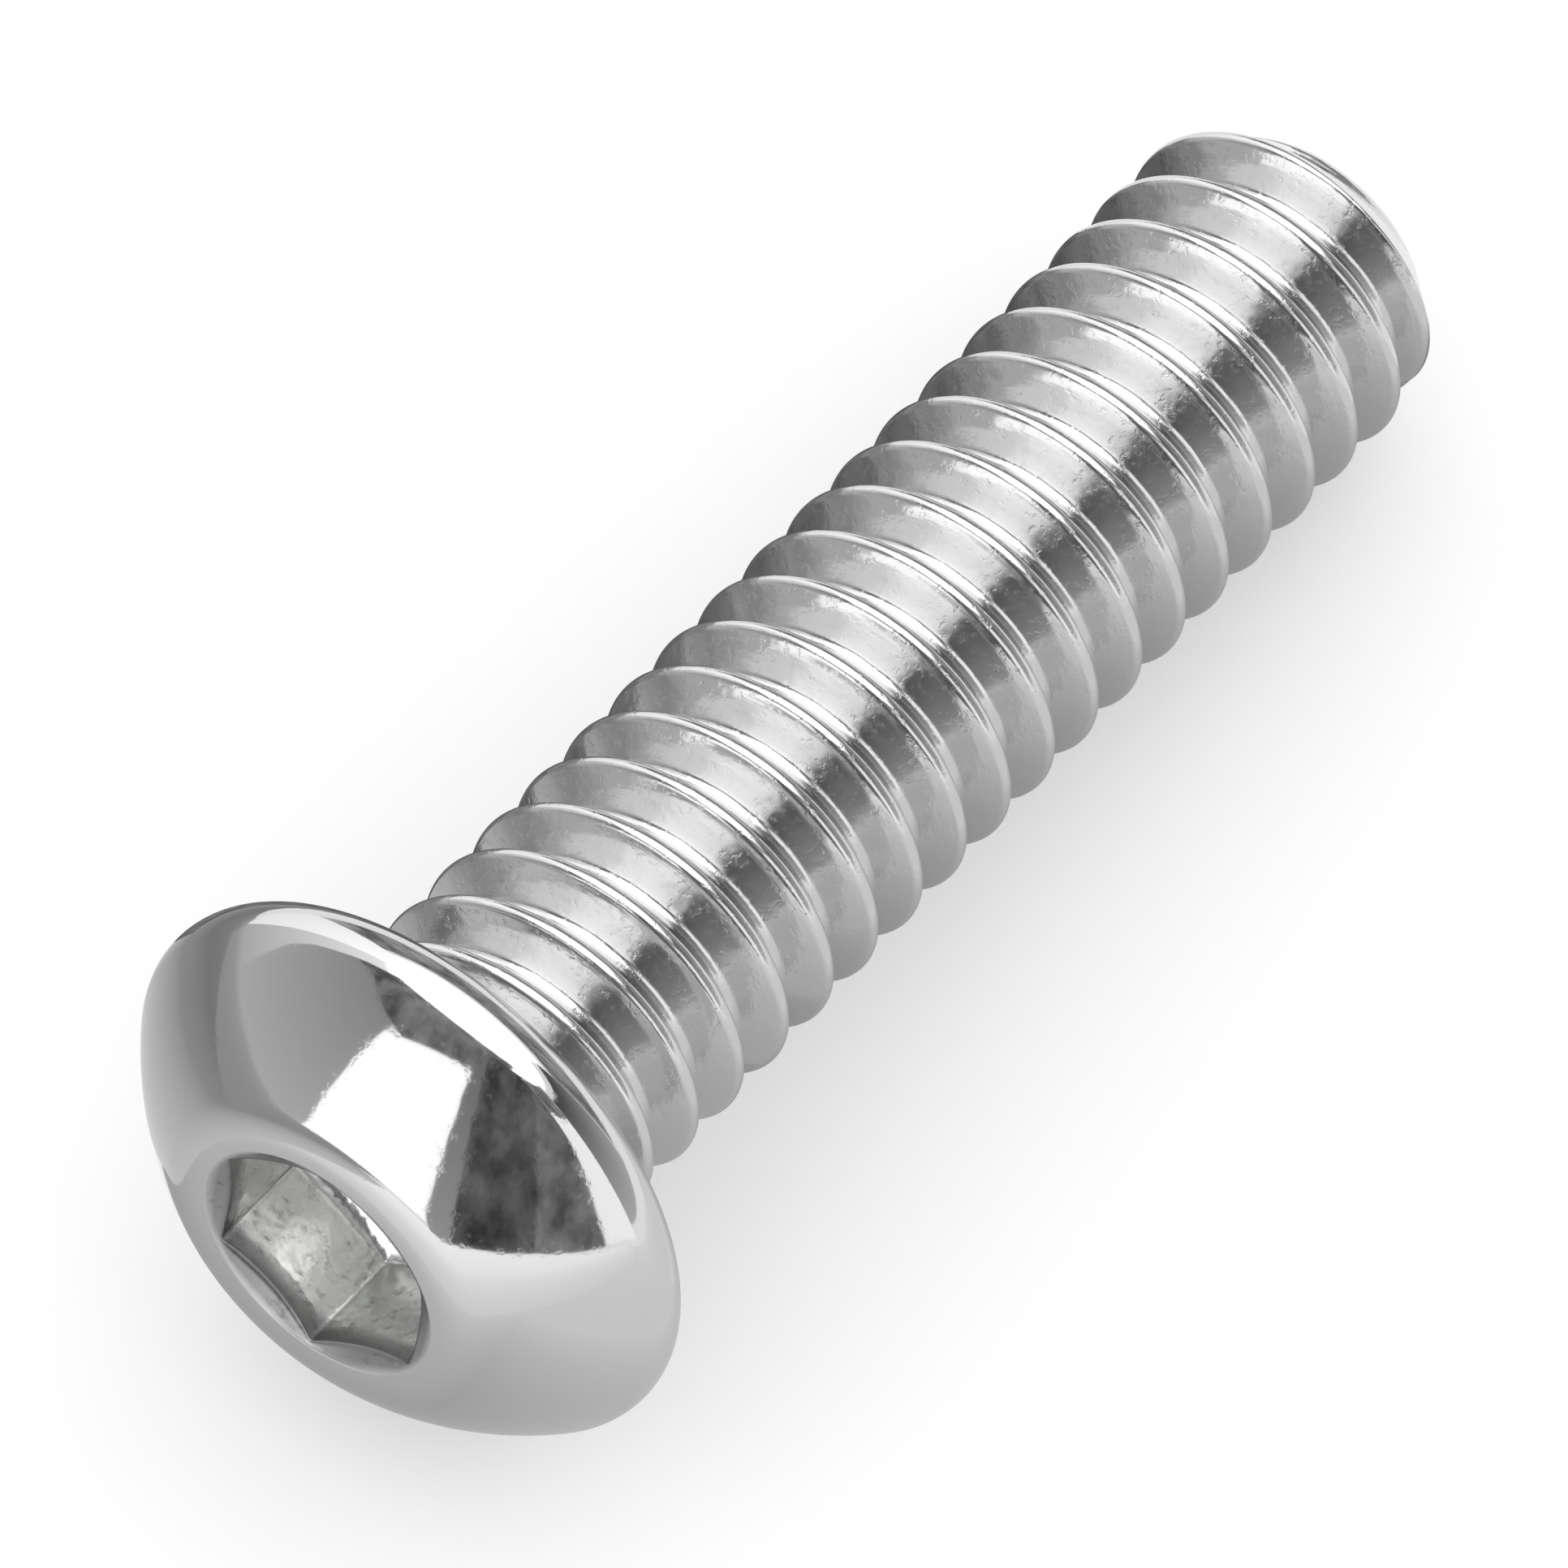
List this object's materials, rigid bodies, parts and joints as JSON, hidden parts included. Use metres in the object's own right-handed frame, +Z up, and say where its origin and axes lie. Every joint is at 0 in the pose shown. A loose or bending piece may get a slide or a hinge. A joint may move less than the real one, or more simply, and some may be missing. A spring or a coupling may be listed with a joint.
{
  "type": "button head screw",
  "caption": "Chrome button head screw with a low domed head, a hexagon socket and a right-hand thread along the whole shank, lying on its side.",
  "frame": {"origin": "middle of the screw's footprint, on the surface that it lies on", "axes": "+X is level and runs along the screw from the head to the tip, +Y is to its left seen from the head, +Z is up. The screw's own axis lies in the XZ plane and drops by 5.6 degrees from the head to the tip, because the head's rim and the last full crest of the thread both touch the surface."},
  "size_m": [0.029, 0.011, 0.0109],
  "materials": {
    "chrome": "bright, slightly mottled plating"
  },
  "bodies": {
    "root": {"button_head_screw": "chrome"}
  },
  "joints": []
}
